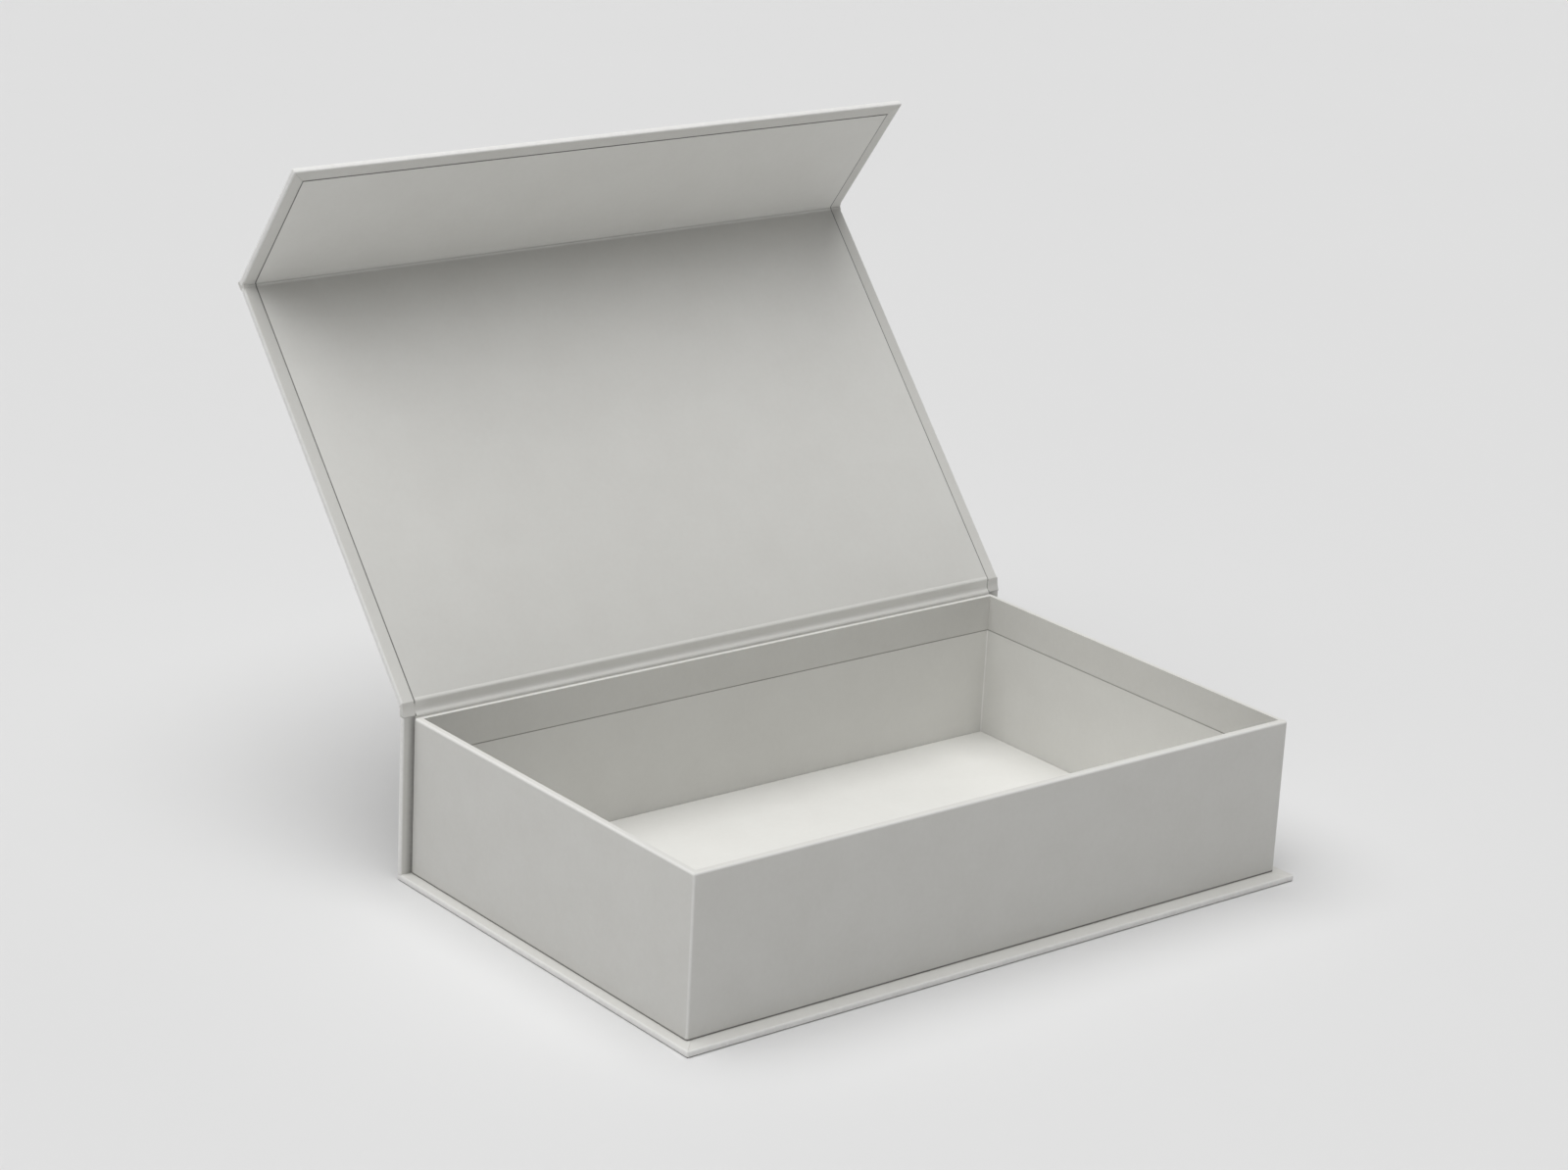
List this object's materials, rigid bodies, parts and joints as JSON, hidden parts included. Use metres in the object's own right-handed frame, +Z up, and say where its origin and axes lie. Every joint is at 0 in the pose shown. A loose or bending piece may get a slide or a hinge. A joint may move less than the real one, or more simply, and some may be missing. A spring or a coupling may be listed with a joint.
{
  "type": "archival box",
  "caption": "Paper-covered board document box: an open tray on a case base, a spine, a hinged lid and a hinged front flap, shown standing open.",
  "frame": {"origin": "centre of the base's underside, the face that stands on the shelf", "axes": "+X along the width and both hinges, +Y from the tray's front to the spine, +Z up out of the tray"},
  "size_m": [0.3824, 0.3915, 0.3346],
  "materials": {
    "grey_board": "matte",
    "cover_paper": "matte",
    "liner_paper": "matte",
    "filler_paper": "matte",
    "plate_steel": "satin",
    "magnet_steel": "satin"
  },
  "bodies": {
    "case": {"base_board": "grey_board", "base_wrap": "cover_paper", "base_infill": "filler_paper", "spine_board": "grey_board", "spine_wrap": "cover_paper", "spine_infill": "filler_paper", "spine_liner": "liner_paper", "tray_front_board": "grey_board", "tray_back_board": "grey_board", "tray_left_board": "grey_board", "tray_right_board": "grey_board", "tray_floor_board": "grey_board", "tray_wrap": "cover_paper", "tray_wall_liner": "liner_paper", "tray_floor_liner": "liner_paper", "tray_underside_paper": "filler_paper", "tray_front_plates": "plate_steel", "lid_hinge_wrap": "cover_paper", "lid_hinge_liner": "liner_paper"},
    "lid": {"lid_board": "grey_board", "lid_wrap": "cover_paper", "lid_infill": "filler_paper", "lid_liner": "liner_paper", "flap_hinge_wrap": "cover_paper", "flap_hinge_liner": "liner_paper"},
    "flap": {"flap_board": "grey_board", "flap_wrap": "cover_paper", "flap_infill": "filler_paper", "flap_liner": "liner_paper", "flap_magnets": "magnet_steel"}
  },
  "joints": [
    {"name": "lid_hinge", "type": "hinge", "parent": "case", "child": "lid", "pos_m": [0, 0.119, 0.0894], "axis": [1, 0, 0], "range_deg": [-69, 131], "deforming": ["lid_hinge_wrap", "lid_hinge_liner"]},
    {"name": "flap_hinge", "type": "hinge", "parent": "lid", "child": "flap", "pos_m": [0, 0.27252, 0.266], "axis": [1, 0, 0], "range_deg": [-77, 13], "deforming": ["flap_hinge_wrap", "flap_hinge_liner"]}
  ]
}
